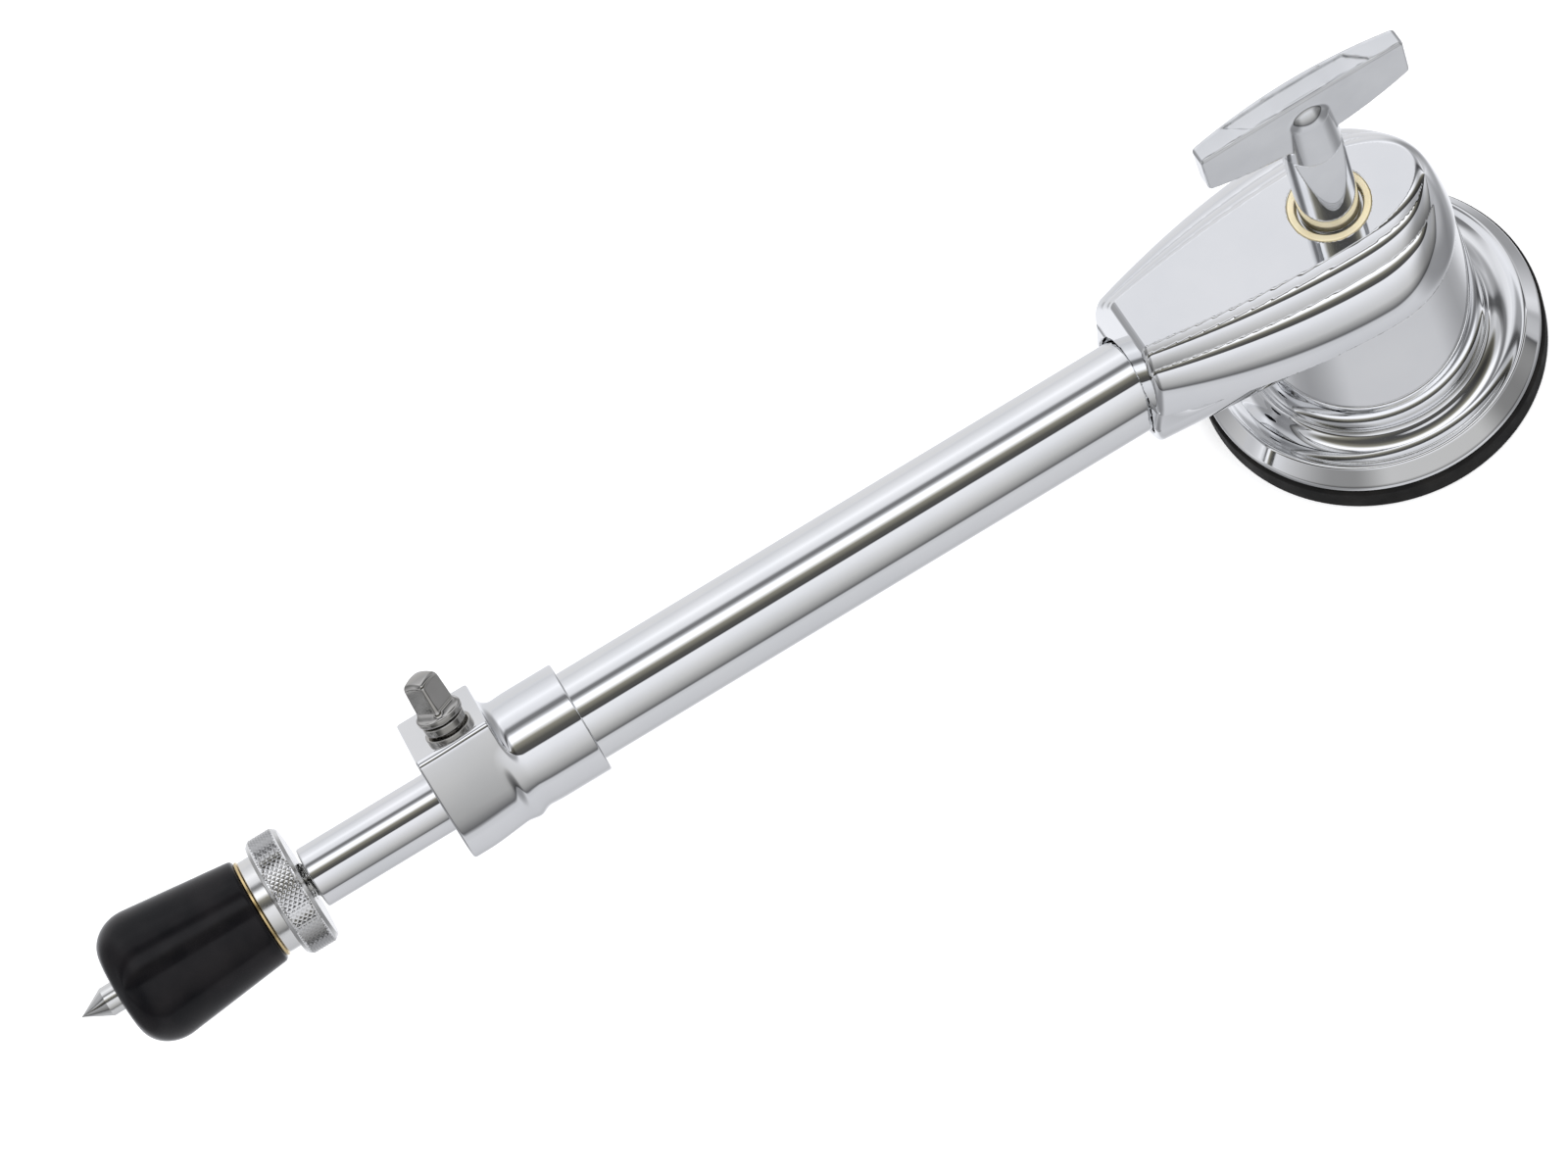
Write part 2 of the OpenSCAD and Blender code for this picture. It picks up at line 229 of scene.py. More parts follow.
# ---------------------------------------------------------------- shapes from fields


def meet(a, b, r):
    """What lies in both fields, with the edge rounded to radius r."""
    return np.minimum(np.maximum(a, b), -r) + np.hypot(np.maximum(a + r, 0), np.maximum(b + r, 0))


def join(a, b, r):
    """What lies in either field, with the corner filled to radius r."""
    return -meet(-a, -b, r)


def slope(field, points, reach_mm):
    """The field's gradient, by central differences over reach_mm."""
    out = np.empty_like(points)
    for axis in range(3):
        step = np.zeros(3)
        step[axis] = reach_mm
        out[:, axis] = (field(points + step) - field(points - step)) / (2 * reach_mm)
    return out


def net(field, low, high, step):
    """Points and quads of a field's zero surface, found on a regular grid and then settled on the surface."""
    axes = [np.arange(a - 1.37 * step, b + 2 * step, step) for a, b in zip(low, high)]
    grid = np.stack(np.meshgrid(*axes, indexing="ij"), -1)
    value = field(grid)
    cells = np.array(value.shape) - 1
    total, hits = np.zeros((*cells, 3)), np.zeros(cells)
    quads = []
    for axis in range(3):
        others = [k for k in range(3) if k != axis]
        first = [slice(1, -1)] * 3
        second = [slice(1, -1)] * 3
        first[axis], second[axis] = slice(0, -1), slice(1, None)
        a, b = value[tuple(first)], value[tuple(second)]
        where = np.argwhere((a < 0) != (b < 0))
        start = where.copy()
        start[:, others] += 1
        va, vb = a[tuple(where.T)], b[tuple(where.T)]
        at = grid[tuple(start.T)].copy()
        at[:, axis] += step * va / (va - vb)
        corner_ids = []
        for da, db in ((1, 1), (0, 1), (0, 0), (1, 0)):
            cell = start.copy()
            cell[:, others[0]] -= da
            cell[:, others[1]] -= db
            np.add.at(total, tuple(cell.T), at)
            np.add.at(hits, tuple(cell.T), 1)
            corner_ids.append(np.ravel_multi_index(tuple(cell.T), tuple(cells)))
        quad = np.stack(corner_ids, -1)
        flip = (va < 0) == (axis == 1)
        quad[flip] = quad[flip][:, ::-1]
        quads.append(quad)
    quads = np.concatenate(quads)
    used, quads = np.unique(quads, return_inverse=True)
    points = total.reshape(-1, 3)[used] / hits.reshape(-1)[used][:, None]
    return settle(field, points, step), quads.reshape(-1, 4)


def settle(field, points, step):
    """Moves points onto the field's zero surface along its gradient."""
    for _ in range(5):
        value = field(points)
        rise_of = slope(field, points, 0.02)
        move = rise_of * (value / np.maximum((rise_of**2).sum(1), 0.05))[:, None]
        size = np.linalg.norm(move, axis=1)
        move *= np.minimum(1, 0.4 * step / np.maximum(size, 1e-9))[:, None]
        points = points - move
    return points


def moulded(name, field, low, high, step, place, blur=0.06):
    """A mesh of a field's surface, shaded by the field's own normals."""
    points, quads = net(field, low, high, step)
    normals = slope(field, points, blur)
    normals /= np.linalg.norm(normals, axis=1)[:, None]
    turn = np.array(place)[:3, :3]
    moved = points @ turn.T + np.array(place)[:3, 3]
    mesh = bpy.data.meshes.new(name)
    mesh.from_pydata((moved * MM).tolist(), [], quads.tolist())
    mesh.shade_smooth()
    mesh.normals_split_custom_set_from_vertices((normals @ turn.T).tolist())
    return mesh


def split(p):
    """The three coordinates of an array of points."""
    return p[..., 0], p[..., 1], p[..., 2]


def smooth_step(t):
    """Eases from 0 to 1 as t goes from 0 to 1."""
    t = np.clip(t, 0, 1)
    return t * t * (3 - 2 * t)


# ---------------------------------------------------------------- the arm

MOUTH_HALF = 12.4
TOP_REACH = 18.2
TOP_HALF = 10.4
TOP_MOUTH_HALF = 5.2
SIDE_BOW = 1.8
SLEEVE_HALF = 12.4
SLEEVE_THICK = 15.0
SHOULDER = 0.12
RIDGE = 0.42
GROOVE_1 = 1.25
GROOVE_2 = 4.06
FULL_DROP = 10.5
RIDGE_LIFTS = (0.1, 0.55, 1.3)
MOUTH_LEAN = 0.2
RECESS_R = 10.4
RECESS_DEEP = 3.2
SOCKET_END = 27
SCREW_X = 38
SCREW_R = 2.5


def arm_level(x, y):
    """Where a point lies from the arm's base outline (0) in to its flat top's (1).

    Also how far apart the two are, how far the point lies round the front, and the outline's half width.
    """
    side = np.abs(y)
    bow = 1 - (np.clip(-x, 0, MOUTH_X) / MOUTH_X) ** SIDE_BOW
    outer = MOUTH_HALF + (HEAD_R - MOUTH_HALF) * bow
    inner = TOP_MOUTH_HALF + (TOP_HALF - TOP_MOUTH_HALF) * bow
    ray = np.maximum(np.hypot(x, y), 1e-6)
    oval = 1 / np.hypot(x / ray / TOP_REACH, y / ray / TOP_HALF)
    ahead = x > 0
    gap = np.where(ahead, HEAD_R - oval, outer - inner)
    level = np.where(ahead, HEAD_R - ray, outer - side) / gap
    front = np.where(ahead, (x / ray) ** 2, 0)
    return level, gap, front, outer


def ridge_drop(t):
    """How far the ridged side lies below the flat top: a shoulder and two ridges with grooves between."""
    ends = (0, SHOULDER, RIDGE, 1)
    drops = (0, GROOVE_1, GROOVE_2, FULL_DROP)
    out = np.zeros_like(t)
    for k, lift in enumerate(RIDGE_LIFTS):
        u = (t - ends[k]) / (ends[k + 1] - ends[k])
        part = drops[k] + (drops[k + 1] - drops[k]) * u - 4 * lift * u * (1 - u)
        out = np.where(t > ends[k], part, out)
    return out


def arm_field(p):
    """The arm: ridged head over the boss, sleeve for the tube, bores and the cup's recess."""
    x, y, z = split(p)
    level, gap, front, outer = arm_level(x, y)
    inside = np.minimum(level, 1)
    t = np.clip(1 - inside - front * inside * (1 - inside), 0, 1.3)
    plain = 7 * t + 3.5 * t * t
    ridged = smooth_step((19 - x) / 9) * smooth_step((x + MOUTH_X + 1) / 6)
    drop = plain + (ridge_drop(t) - plain) * ridged
    upper = (z - ARM_TOP + drop) * gap / np.hypot(gap, 9)
    head = meet(upper, -level * gap, 2.0)
    head = meet(head, ARM_Z - z, 0.3)
    leg = z - LEG_Z
    along = np.clip((x + MOUTH_X) / (MOUTH_X - 16), 0, 1.2)
    thick = SLEEVE_HALF + (SLEEVE_THICK - SLEEVE_HALF) * along
    flare = np.clip(leg / (ARM_Z - LEG_Z), 0, 1) ** 1.4
    wall = (np.abs(y) - thick - (outer - thick) * flare) * 0.85
    sleeve = np.where(leg > 0, wall, np.hypot(y, leg) - thick)
    sleeve = np.maximum(sleeve, np.maximum(z - ARM_Z - 0.8, x + 12))
    sleeve = meet(sleeve, BOSS_R + 0.8 + 0.0535 * (ARM_Z - z) - np.hypot(x, y), 0.3)
    sleeve = np.where(z > ARM_Z, np.maximum(sleeve, -level * gap), sleeve)
    solid = np.minimum(head, sleeve)
    solid = meet(solid, MOUTH_LEAN * np.maximum(leg, 0) - x - MOUTH_X, 1.3)
    bore = np.hypot(y, leg)
    solid = meet(solid, -np.maximum(bore - RECESS_R, x + MOUTH_X - RECESS_DEEP), 0.25)
    solid = np.maximum(solid, -np.maximum(bore - TUBE_R, x + SOCKET_END))
    column = np.hypot(x, y)
    solid = meet(solid, -np.maximum(column - BUSH_R, BUSH_FLOOR_Z - z), 0.2)
    solid = np.maximum(solid, -(column - STUD_R - 0.4))
    solid = np.maximum(solid, -np.maximum(column - SPIGOT_R - 0.05, z - SEAM_Z - SPIGOT_H - 0.4))
    return np.maximum(solid, -np.maximum(np.hypot(x + SCREW_X, y) - SCREW_R, z - LEG_Z + TUBE_R))


# ---------------------------------------------------------------- the T-handle

BAR_HALF = 22.0
PANEL_HALF = 13.0
FACET_TOP = HANDLE_TOP - 18.3
LOBE_R = STEM_R - 0.8


def t_handle_field(p):
    """The T-handle: arched bar with a sunk panel, round stem with a sloping facet, and a domed tongue."""
    x, y, z = split(p)
    bend = (x / BAR_HALF) ** 2
    over = z - (HANDLE_TOP - 2 * bend)
    under = (HANDLE_TOP - 14.6 + 2.6 * bend) - z
    bar = meet(over, np.abs(y) - 2.0 - 0.95 * (1 - bend), 0.6)
    bar = meet(bar, under * 0.9, 0.7)
    bar = meet(bar, np.abs(x) - BAR_HALF, 0.7)
    column = np.hypot(x, y)
    stem = meet(column - STEM_R, STEM_Z - z, 0.8)
    stem = meet(stem, z - FACET_TOP - 0.6, 0.2)
    facet = (-y - 3.3 - 0.19 * (FACET_TOP - z)) * 0.98
    stem = meet(stem, facet, 0.25)
    taper = np.clip((z - FACET_TOP) / 11, 0, 1)
    lobe_z = HANDLE_TOP - 7.2
    dome = np.sqrt(column**2 + (z - lobe_z) ** 2) - LOBE_R
    tongue = np.where(z < lobe_z, column - STEM_R + (STEM_R - LOBE_R) * taper, dome)
    tongue = meet(tongue, FACET_TOP - z, 0.5)
    solid = join(bar, tongue, 0.5)
    solid = join(solid, stem, 0.2)
    panel = np.maximum(np.abs(x + 1.2 * y) - PANEL_HALF, np.abs(y) - 1.75)
    solid = meet(solid, -meet(panel, -0.5 - over, 0.1), 0.15)
    return np.maximum(solid, -np.maximum(column - STUD_R, z - STEM_Z - 14))


# ---------------------------------------------------------------- the clamp

BLOCK_HALF = 11.3
BLOCK_BOW_R = 57
BLOCK_R = 12.9
COLLAR_R = 11.65
BLOCK_LONG = 15.8
TUBE_DEPTH = 14.5
BOLT_R = 3.0
KEY_FLANGE_R = 4.75
KEY_END = 8.1
KEY_HEAD_H = 8.2


def collar_field(p):
    """The clamp collar in the key bolt's frame: x along the leg towards the T-bolt, w along the bolt."""
    x, v, w = split(p)
    ring = np.hypot(v, w)
    end_x = KEY_X - COLLAR_END
    tube_side = KEY_X - COLLAR_X
    sleeve_r = COLLAR_R - 0.3 + 0.45 * smooth_step((x - 4) / 9)
    sleeve = meet(ring - sleeve_r, np.abs(x - 3 - tube_side / 2) - tube_side / 2 + 3, 0.5)
    side = np.abs(v) - BLOCK_HALF + (w - 5) ** 2 / (2 * BLOCK_BOW_R)
    under = np.hypot(v, np.minimum(w, 0)) - BLOCK_R + 0.9 * smooth_step((x - end_x - 3) / 13)
    shape = meet(under, side, 2.5)
    shape = meet(shape, w - BLOCK_TOP, 1.5)
    block = meet(shape, np.abs(x - end_x - BLOCK_LONG / 2) - BLOCK_LONG / 2, 0.6)
    solid = join(sleeve, block, 2.6)
    solid = np.maximum(solid, end_x - x)
    solid = np.maximum(solid, -np.maximum(ring - TUBE_R, tube_side - TUBE_DEPTH - x))
    solid = np.maximum(solid, ROD_R + 0.05 - ring)
    solid = meet(solid, -np.maximum(ring - ROD_R - 1.2, x - end_x - 1.2), 0.3)
    bolt = np.hypot(x, v + KEY_OFFSET)
    return meet(solid, -np.maximum(bolt - BOLT_R, 1 - w), 0.2)


FLANGE_W = BLOCK_TOP + 3.8
HEAD_W = FLANGE_W + 1.3


def key_field(p):
    """The key bolt: tapered square head, round flange and plain shank, in the clamp's frame."""
    x, v, w = split(p)
    ring = np.hypot(x, v)
    flange = meet(ring - KEY_FLANGE_R, np.abs(w - FLANGE_W - 0.65) - 0.65, 0.4)
    side_1 = x * math.cos(KEY_TURNED) + v * math.sin(KEY_TURNED)
    side_2 = v * math.cos(KEY_TURNED) - x * math.sin(KEY_TURNED)
    half = 2.62 + 0.045 * (HEAD_W + KEY_HEAD_H - w)
    square = meet(np.abs(side_1) - half, np.abs(side_2) - half, 0.6)
    dome = np.sqrt(x**2 + v**2 + (w - HEAD_W - 0.2) ** 2) - 8
    head = meet(meet(square, dome, 0.8), FLANGE_W + 0.3 - w, 0.1)
    head = meet(head, ring - 3.9, 0.3)
    solid = join(flange, head, 1.6)
    shank = meet(ring - 2.95, np.abs(w - 13.5) - 5.4, 0.4)
    return np.minimum(solid, shank)


def spring_washer_mesh():
    """A split ring with a near-square section, its ends stepped apart."""
    section = soften([(3.1, 0, 0.2), (4.4, 0, 0.3), (4.4, 1.75, 0.3), (3.1, 1.75, 0.2)], 3, 0.03)
    turns = np.radians(np.linspace(14, 350, 73))
    points = []
    for turn in turns:
        lift = BLOCK_TOP + 1.15 + 0.6 * (turn / (2 * math.pi))
        for r, h in section:
            points.append((r * math.cos(turn), r * math.sin(turn), lift + h))
    count = len(section)
    faces = sheet_faces(len(turns), count)
    faces.append(list(range(count)))
    faces.append(list(range(len(points) - count, len(points))))
    return new_mesh("spring_washer", points, faces, KEY_PLACE)


# ---------------------------------------------------------------- threads and knurl


def thread_rows(x0, x1, r, pitch, depth, segments=32, per_turn=8):
    """Rings of a helical thread from x0 to x1, with its crests at radius r."""
    xs = np.arange(x0, x1, pitch / per_turn)
    turn = np.linspace(0, 2 * math.pi, segments, endpoint=False)
    rows = []
    for x in xs:
        phase = (x / pitch - turn / (2 * math.pi)) % 1
        ease = min(1, (x - x0) / pitch, (x1 - x) / pitch)
        dip = depth * np.clip(np.abs(2 * phase - 1) * 1.35 - 0.1, 0, 1) * max(ease, 0)
        rows.append((x, r - depth * (1 - max(ease, 0)) - dip))
    return rows


def rows_mesh(name, rows, place, segments=32):
    """A closed mesh from rings given as (along, radius for each segment)."""
    turn = np.linspace(0, 2 * math.pi, segments, endpoint=False)
    points = []
    for x, r in rows:
        r = np.broadcast_to(r, turn.shape)
        points.extend(zip(np.full(segments, x), r * np.cos(turn), r * np.sin(turn)))
    faces = sheet_faces(len(rows), segments)
    faces.append(list(range(segments)))
    faces.append(list(range(len(points) - segments, len(points))))
    return new_mesh(name, points, faces, place)


KNURL_TEETH = 62
KNURL_DEPTH = 0.35
KNURL_PARTS = 4
KNURL_ROWS = 5
KNURL_CREASE_DEG = 12
HUB_LONG = 2.8
HUB_R = 10


def knurled_nut_mesh():
    """The lock nut's band of diamond knurl, which fades out at both edges."""
    columns = KNURL_TEETH * KNURL_PARTS
    wide = HUB_X - HUB_LONG - NUT_X - 1.4
    rows = KNURL_ROWS * KNURL_PARTS
    points = []
    turn = np.arange(columns)
    angle = turn / columns * 2 * math.pi
    for row in range(rows + 1):
        both = [np.abs(2 * (turn + sign * row) / KNURL_PARTS % 2 - 1) for sign in (1, -1)]
        peak = np.minimum(*both)
        ends = min(row, rows - row, 2) / 2
        r = NUT_R - KNURL_DEPTH + KNURL_DEPTH * np.minimum(1, 1.15 * peak) * ends
        x = np.full(columns, NUT_X + 0.7 + wide * row / rows)
        points.extend(zip(x, r * np.cos(angle), r * np.sin(angle)))
    faces = []
    for row in range(rows):
        for j in range(columns):
            k = (j + 1) % columns
            a, b = row * columns + j, (row + 1) * columns + j
            c, d = (row + 1) * columns + k, row * columns + k
            faces += [(a, b, c), (a, c, d)] if (row - j) % 2 == 0 else [(a, b, d), (b, c, d)]
    return new_mesh("nut_band", points, faces, LEG_PLACE, KNURL_CREASE_DEG)


# ---------------------------------------------------------------- materials


def node_tree(name):
    """A new material, its nodes and links, and its shader."""
    material = bpy.data.materials.new(name)
    material.use_nodes = True
    nodes = material.node_tree.nodes
    return material, nodes, material.node_tree.links, nodes["Principled BSDF"]


def noise(nodes, links, scale, detail=3.0, stretch=(1, 1, 1)):
    """Noise in the object's own place, finer with a larger scale (per metre)."""
    where = nodes.new("ShaderNodeTexCoord")
    mapping = nodes.new("ShaderNodeMapping")
    mapping.inputs["Scale"].default_value = stretch
    texture = nodes.new("ShaderNodeTexNoise")
    texture.inputs["Scale"].default_value = scale
    texture.inputs["Detail"].default_value = detail
    links.new(where.outputs["Object"], mapping.inputs["Vector"])
    links.new(mapping.outputs["Vector"], texture.inputs["Vector"])
    return texture.outputs["Fac"]


def map_range(nodes, links, value, source, target, kind="LINEAR"):
    """Maps a value from one range (first, last) onto another."""
    change = nodes.new("ShaderNodeMapRange")
    change.interpolation_type = kind
    change.inputs["From Min"].default_value = source[0]
    change.inputs["From Max"].default_value = source[1]
    change.inputs["To Min"].default_value = target[0]
    change.inputs["To Max"].default_value = target[1]
    links.new(value, change.inputs["Value"])
    return change.outputs["Result"]


def spread(nodes, links, value, low, high):
    """Maps noise from its usual 0.3 to 0.7 onto low to high."""
    return map_range(nodes, links, value, (0.3, 0.7), (low, high))


def colours(nodes, links, value, first, second):
    """Blends two colours by noise."""
    ramp = nodes.new("ShaderNodeValToRGB")
    ramp.color_ramp.elements[0].position = 0.35
    ramp.color_ramp.elements[1].position = 0.65
    ramp.color_ramp.elements[0].color = (*first, 1)
    ramp.color_ramp.elements[1].color = (*second, 1)
    links.new(value, ramp.inputs["Fac"])
    return ramp.outputs["Color"]


def bump(nodes, links, shader, layers):
    """Stacks bump layers of (height, strength, depth in metres) on a shader."""
    last = None
    for height, strength, depth in layers:
        step = nodes.new("ShaderNodeBump")
        step.inputs["Strength"].default_value = strength
        step.inputs["Distance"].default_value = depth
        links.new(height, step.inputs["Height"])
        if last:
            links.new(last, step.inputs["Normal"])
        last = step.outputs["Normal"]
    links.new(last, shader.inputs["Normal"])


def metal(name, first, second, rough, wave=0.0, grain=(900, (1, 1, 1), 0.0)):
    """A metal whose colour and gloss vary a little, with casting waves and a fine grain."""
    material, nodes, links, shader = node_tree(name)
    shader.inputs["Metallic"].default_value = 1.0
    cloud = noise(nodes, links, 60)
    links.new(colours(nodes, links, cloud, first, second), shader.inputs["Base Color"])
    links.new(spread(nodes, links, noise(nodes, links, 350, 5), *rough), shader.inputs["Roughness"])
    layers = []
    if wave:
        layers.append((noise(nodes, links, 95, 1.5), 0.5, wave))
    if grain[2]:
        layers.append((noise(nodes, links, grain[0], 4, grain[1]), 0.5, grain[2]))
    if layers:
        bump(nodes, links, shader, layers)
    return material


def plastic(name, first, second, rough, depth, scale, gloss=0.5, body=0.0):
    """A moulded material: cloudy colour, uneven gloss and a fine surface texture."""
    material, nodes, links, shader = node_tree(name)
    shader.inputs["Specular IOR Level"].default_value = gloss
    shader.inputs["Subsurface Weight"].default_value = body
    shader.inputs["Subsurface Radius"].default_value = (0.002, 0.0015, 0.0008)
    links.new(colours(nodes, links, noise(nodes, links, 120), first, second), shader.inputs["Base Color"])
    links.new(spread(nodes, links, noise(nodes, links, 260, 5), *rough), shader.inputs["Roughness"])
    bump(nodes, links, shader, [(noise(nodes, links, scale, 6), 0.4, depth)])
    return material


BRACKET = metal(
    "bracket_chrome", (0.87, 0.875, 0.885), (0.90, 0.905, 0.91), (0.02, 0.06),
    wave=0.000012,
)
CAST = metal(
    "cast_chrome", (0.86, 0.87, 0.885), (0.90, 0.905, 0.915), (0.015, 0.045),
    wave=0.00004,
)
# The handle's chrome is tinted darker than the other chromed castings: painted shade that stands in for the
# darker reflections on the handle.
HANDLE = metal(
    "handle_chrome", (0.74, 0.75, 0.765), (0.84, 0.85, 0.86), (0.03, 0.10),
    wave=0.00012,
)
TUBE = metal(
    "tube_chrome", (0.87, 0.88, 0.89), (0.90, 0.905, 0.91), (0.01, 0.04),
    grain=(2500, (0.05, 1, 1), 0.000001),
)
ROD = metal(
    "rod_chrome", (0.86, 0.87, 0.88), (0.90, 0.90, 0.91), (0.02, 0.06),
    grain=(2500, (0.04, 1, 1), 0.000002),
)
KNURL = metal(
    "knurl_zinc", (0.88, 0.88, 0.88), (0.94, 0.94, 0.94), (0.05, 0.11),
    grain=(1800, (1, 1, 1), 0.000006),
)
ZINC = metal(
    "zinc_steel", (0.80, 0.80, 0.79), (0.88, 0.88, 0.87), (0.10, 0.2),
    grain=(2200, (1, 0.1, 0.1), 0.000004),
)
NICKEL = metal(
    "nickel_steel", (0.42, 0.41, 0.39), (0.55, 0.54, 0.52), (0.05, 0.14),
    grain=(1500, (1, 1, 1), 0.000004),
)
BRASS = metal(
    "brass", (0.72, 0.53, 0.24), (0.82, 0.64, 0.34), (0.14, 0.26),
    grain=(1500, (1, 1, 1), 0.000005),
)
BLACK = metal(
    "black_steel", (0.03, 0.03, 0.035), (0.06, 0.06, 0.06), (0.3, 0.45),
    grain=(1800, (1, 1, 1), 0.00001),
)
GASKET = plastic(
    "gasket_rubber", (0.006, 0.006, 0.006), (0.014, 0.013, 0.012), (0.55, 0.75),
    0.00004, 1600, gloss=0.15,
)
FOOT = plastic(
    "foot_rubber", (0.004, 0.004, 0.005), (0.010, 0.009, 0.010), (0.10, 0.20),
    0.000012, 700, gloss=0.17,
)
CREAM = plastic(
    "bush_nylon", (0.78, 0.68, 0.44), (0.86, 0.77, 0.54), (0.3, 0.45),
    0.00001, 1200, body=0.1,
)
IVORY = plastic(
    "guide_nylon", (0.80, 0.78, 0.70), (0.88, 0.86, 0.79), (0.35, 0.5),
    0.00001, 1200, body=0.1,
)


# ---------------------------------------------------------------- pieces


def make_bracket():
    """Flange with a raised rim, dished ring, ledge, fillet and a slightly tapered boss."""
    foot_r = BOSS_R + 1.9
    rim = [(0.9, BASE_R, 0.7), (4.6, BASE_R - 2.9, 0.6)]
    dish = [(3.5 + 1.0 * ((r - 28.4) / 2.8) ** 2, r) for r in np.linspace(30.8, 25.7, 19)]
    cove_r, cove_z = 1.6, 6.2
    sweep = np.radians(np.linspace(20, 87, 12))
    cove = [(cove_z - cove_r * math.cos(a), foot_r + cove_r - cove_r * math.sin(a)) for a in sweep]
    corners = [(0, 11, 0), (0, BASE_R, 0.25), *rim, *dish, *cove]
    top = SEAM_Z - BASE_Z
    corners += [(top - 0.4, BOSS_R - 0.02, 0), (top, BOSS_R - 0.4, 0.1)]
    corners += [(top, 19.2, 0), (top - 1, 19.2, 0), (top - 1, SPIGOT_R, 0)]
    corners += [(top + SPIGOT_H, SPIGOT_R, 0.4), (top + SPIGOT_H, 5.5, 0), (0, 5.5, 0)]
    corners += [(0, 9, 0), (30, 9, 0), (30, 11, 0)]
    place = Matrix.Translation((0, 0, BASE_Z)) @ TURN_UP
    mesh = turned("base_bracket", corners, place, 192)
    holes = [screw_hole(k, 2.5, BASE_Z - 1, BASE_Z + 12) for k in range(4)]
    casting = cut(mesh, holes)
    add_piece("base_bracket_casting", casting, "bracket", BRACKET, ["base_bracket"])


def screw_hole(k, r, z0, z1):
    """A round tool for one of the four shell screws."""
    turn = math.radians(45 + 90 * k)
    at = (SCREW_CIRCLE_R * math.cos(turn), SCREW_CIRCLE_R * math.sin(turn), 0)
    place = Matrix.Translation(at) @ TURN_UP
    return turned("screw_hole", [(z0, 0), (z0, r), (z1, r), (z1, 0)], place, 32)


def make_gasket():
    """Rubber disc under the flange, with the four screw holes."""
    corners = [(0, 0), (0, BASE_R + 0.6, 0.5), (BASE_Z, BASE_R + 0.6, 0.7), (BASE_Z, 0)]
    mesh = turned("gasket", corners, TURN_UP, 160)
    holes = [screw_hole(k, 2.9, -1, BASE_Z + 1) for k in range(4)]
    add_piece("gasket_ring", cut(mesh, holes), "bracket", GASKET, ["gasket"])


def make_arm():
    """The arm's casting and the nylon cup in its top."""
    low = (-MOUTH_X, -HEAD_R, LEG_Z - 14)
    mesh = moulded("swivel_arm", arm_field, low, (HEAD_R, HEAD_R, ARM_TOP), 0.45, UP_PLACE)
    add_piece("swivel_arm_casting", mesh, "arm", CAST, ["swivel_arm"])
    low_z, high_z = rise("arm_bush")
    cup_r, hole_r = 6.8, STUD_R + 0.4
    corners = [(low_z, hole_r), (low_z, BUSH_R - 0.05), (high_z, BUSH_R - 0.05, 0.35)]
    corners += [(high_z, cup_r, 0.25), (low_z + 1.3, cup_r), (low_z + 1.3, hole_r)]
    bush = turned("arm_bush", corners, TURN_UP, 96)
    add_piece("arm_bush_cup", bush, "arm", CREAM, ["arm_bush"])


def make_t_bolt():
    """The T-handle and its threaded stud."""
    low, high = (-BAR_HALF, -STEM_R, STEM_Z), (BAR_HALF, STEM_R, HANDLE_TOP)
    mesh = moulded("t_handle", t_handle_field, low, high, 0.36, UP_PLACE)
    add_piece("t_handle_casting", mesh, "t_bolt", HANDLE, ["t_handle"])
    z0, z1 = rise("t_stud")
    rows = thread_rows(z0, z1, STUD_R, STUD_PITCH, 0.6)
    stud = rows_mesh("t_stud", rows, TURN_UP)
    add_piece("t_stud_thread", stud, "t_bolt", ZINC, ["t_stud"])


def make_leg():
    """The outer tube, and the rod with the neck for its guide."""
    x0, x1 = reach("outer_tube")
    inner = TUBE_R - TUBE_WALL
    corners = [(x0, inner, 0.2), (x0, TUBE_R, 0.3), (x1, TUBE_R, 0.3), (x1, inner, 0.2)]
    tube = turned("outer_tube", corners, LEG_PLACE, 128)
    add_piece("outer_tube_chromed", tube, "arm", TUBE, ["outer_tube"])
    x0, x1 = reach("inner_rod")
    neck_in, neck_out = reach("rod_guide")
    neck_r, bore_r = 5.85, 4.75
    corners = [(x0, bore_r), (x0, ROD_R, 0.3), (neck_in - 0.1, ROD_R, 0.05), (neck_in - 0.1, neck_r)]
    corners += [(neck_out + 0.1, neck_r), (neck_out + 0.1, ROD_R, 0.05), (x1, ROD_R, 0.5), (x1, bore_r, 0.2)]
    rod = turned("inner_rod", corners, LEG_PLACE, 96)
    add_piece("inner_rod_chromed", rod, "rod", ROD, ["inner_rod"])


def make_clamp():
    """The clamp collar with its key bolt and two washers."""
    tube_side = KEY_X - COLLAR_X
    low = (KEY_X - COLLAR_END, -BLOCK_R, -BLOCK_R)
    mesh = moulded("clamp_collar", collar_field, low, (tube_side, BLOCK_R, BLOCK_TOP), 0.4, CLAMP_PLACE)
    add_piece("clamp_collar_casting", mesh, "arm", CAST, ["clamp_collar"])
    low = (-KEY_FLANGE_R, -KEY_FLANGE_R, KEY_END)
    high = (KEY_FLANGE_R, KEY_FLANGE_R, HEAD_W + KEY_HEAD_H)
    key = moulded("key_bolt", key_field, low, high, 0.22, KEY_PLACE, 0.03)
    add_piece("key_bolt_square", key, "key", NICKEL, ["key_bolt"])
    spring = spring_washer_mesh()
    add_piece("spring_washer_split", spring, "key_carrier", NICKEL, ["spring_washer"])
    inner_r, outer_r = 3.1, 4.9
    corners = [(BLOCK_TOP, inner_r), (BLOCK_TOP, outer_r, 0.1)]
    corners += [(BLOCK_TOP + 1, outer_r, 0.25), (BLOCK_TOP + 1, inner_r, 0.15)]
    washer = turned("flat_washer", corners, KEY_PLACE @ TURN_UP, 96)
    add_piece("flat_washer_plain", washer, "arm", NICKEL, ["flat_washer"])


